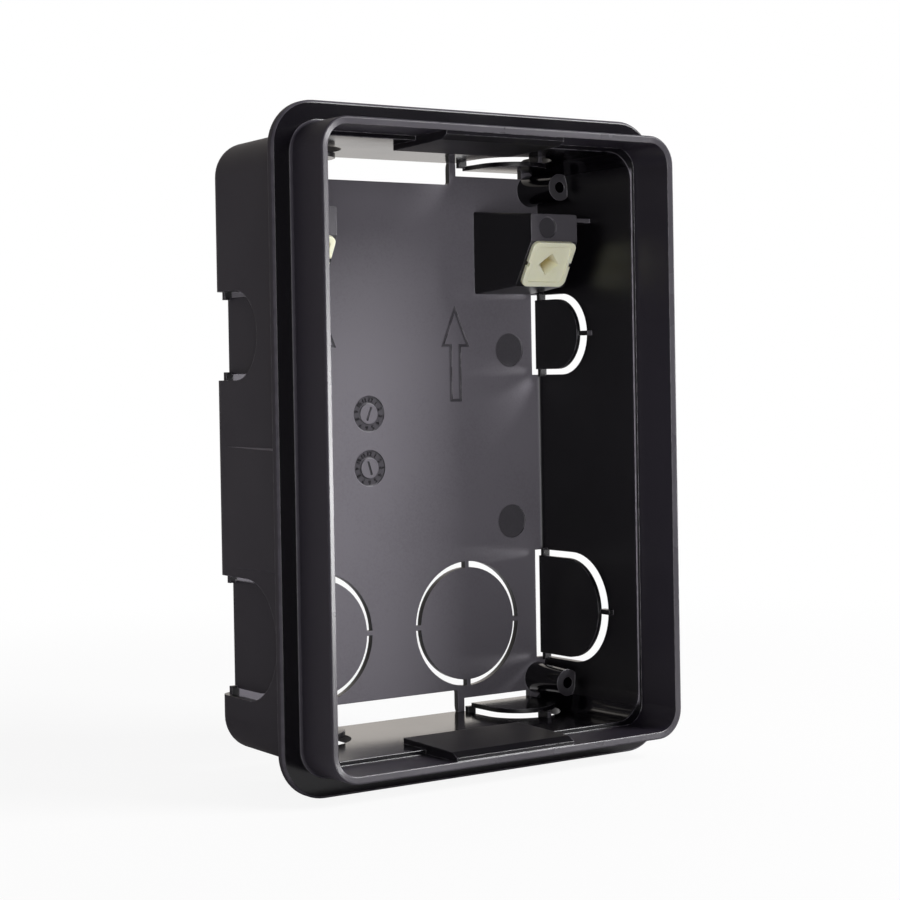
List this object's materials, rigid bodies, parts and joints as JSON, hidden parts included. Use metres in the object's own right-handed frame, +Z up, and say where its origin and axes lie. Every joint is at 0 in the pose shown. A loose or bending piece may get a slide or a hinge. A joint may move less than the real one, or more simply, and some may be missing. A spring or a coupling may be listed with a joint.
{
  "type": "recessed light mounting box",
  "caption": "Open-fronted flush box with a collar and wall flange, break-out cable entries, screw bosses and slanted screw grommets, built into a wall to hold a recessed light.",
  "frame": {"origin": "centre of the box in the plane of the flange's rear face, which bears on the wall", "axes": "+Y into the wall, +Z up, +X to the right as seen from the room"},
  "size_m": [0.111, 0.0538, 0.158],
  "materials": {
    "black_plastic": "satin moulded",
    "nylon": "natural nylon"
  },
  "bodies": {
    "root": {"mounting_box": "black_plastic", "screw_grommet_left": "nylon", "screw_grommet_right": "nylon"}
  },
  "joints": []
}
